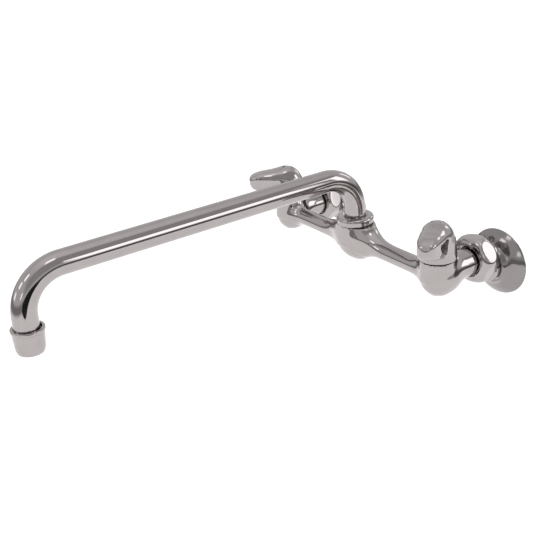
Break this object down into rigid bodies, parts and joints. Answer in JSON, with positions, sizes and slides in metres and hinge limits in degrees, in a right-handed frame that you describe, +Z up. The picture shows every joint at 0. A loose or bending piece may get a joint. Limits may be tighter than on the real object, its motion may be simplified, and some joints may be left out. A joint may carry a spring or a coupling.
{
  "type": "wall-mounted lever faucet",
  "caption": "Wall-mounted kitchen faucet: hot and cold lever handles on a bridge body, eccentric wall inlets with bell flanges, and a long level swing spout ending in an aerator.",
  "frame": {"origin": "on the wall plane, midway between the two wall flanges at the height of their centres", "axes": "+Y into the wall, -Y out into the room along the spout, +X along the wall to the right, +Z up"},
  "size_m": [0.262, 0.392, 0.1199],
  "materials": {
    "body_chrome": "polished chrome plate",
    "spout_chrome": "polished chrome plate",
    "trim_chrome": "polished chrome plate",
    "aerator_chrome": "polished chrome plate",
    "handle_chrome": "polished chrome plate",
    "inlet_chrome": "polished chrome plate",
    "flange_chrome": "polished chrome plate",
    "raw_brass": "machined",
    "stainless_steel": "machined",
    "black_rubber": "matt",
    "white_packing": "satin",
    "white_plastic": "gloss"
  },
  "bodies": {
    "body": {"faucet_body": "body_chrome", "spout_nut": "trim_chrome", "spout_swivel_washer": "white_packing", "hot_valve_seat": "raw_brass", "hot_bonnet": "raw_brass", "hot_bonnet_gasket": "black_rubber", "hot_packing": "white_packing", "hot_packing_nut": "raw_brass", "hot_coupling_nut": "inlet_chrome", "hot_union_washer": "black_rubber", "hot_eccentric_inlet": "inlet_chrome", "hot_wall_flange": "flange_chrome", "cold_valve_seat": "raw_brass", "cold_bonnet": "raw_brass", "cold_bonnet_gasket": "black_rubber", "cold_packing": "white_packing", "cold_packing_nut": "raw_brass", "cold_coupling_nut": "inlet_chrome", "cold_union_washer": "black_rubber", "cold_eccentric_inlet": "inlet_chrome", "cold_wall_flange": "flange_chrome"},
    "spout": {"spout_tube": "spout_chrome", "spout_ferrule": "raw_brass", "spout_lower_o_ring": "black_rubber", "spout_upper_o_ring": "black_rubber", "outlet_bushing": "raw_brass", "aerator_housing": "aerator_chrome", "aerator_screen": "stainless_steel", "aerator_insert": "white_plastic", "aerator_washer": "black_rubber"},
    "hot_handle": {"hot_handle": "handle_chrome", "hot_handle_screw": "stainless_steel", "hot_index_button": "handle_chrome", "hot_spindle": "raw_brass"},
    "hot_plunger": {"hot_plunger": "raw_brass", "hot_seat_washer": "black_rubber", "hot_washer_screw": "stainless_steel"},
    "cold_handle": {"cold_handle": "handle_chrome", "cold_handle_screw": "stainless_steel", "cold_index_button": "handle_chrome", "cold_spindle": "raw_brass"},
    "cold_plunger": {"cold_plunger": "raw_brass", "cold_seat_washer": "black_rubber", "cold_washer_screw": "stainless_steel"}
  },
  "joints": [
    {"name": "spout_swivel", "type": "hinge", "parent": "body", "child": "spout", "pos_m": [0, -0.074, 0.0285], "axis": [0, 0, 1], "range_deg": [-90, 90]},
    {"name": "hot_handle_turn", "type": "hinge", "parent": "body", "child": "hot_handle", "pos_m": [-0.1016, -0.074, 0.0285], "axis": [0, 0, -1], "range_deg": [0, 180]},
    {"name": "hot_stem_lift", "type": "slide", "parent": "body", "child": "hot_plunger", "axis": [0, 0, 1], "range_m": [0, 0.0018]},
    {"name": "cold_handle_turn", "type": "hinge", "parent": "body", "child": "cold_handle", "pos_m": [0.1016, -0.074, 0.0285], "axis": [0, 0, 1], "range_deg": [0, 180]},
    {"name": "cold_stem_lift", "type": "slide", "parent": "body", "child": "cold_plunger", "axis": [0, 0, 1], "range_m": [0, 0.0018]}
  ],
  "couplings": [
    {"joint": "hot_stem_lift", "follows": "hot_handle_turn", "m_per_rad": 0.00055704},
    {"joint": "cold_stem_lift", "follows": "cold_handle_turn", "m_per_rad": 0.00055704}
  ]
}
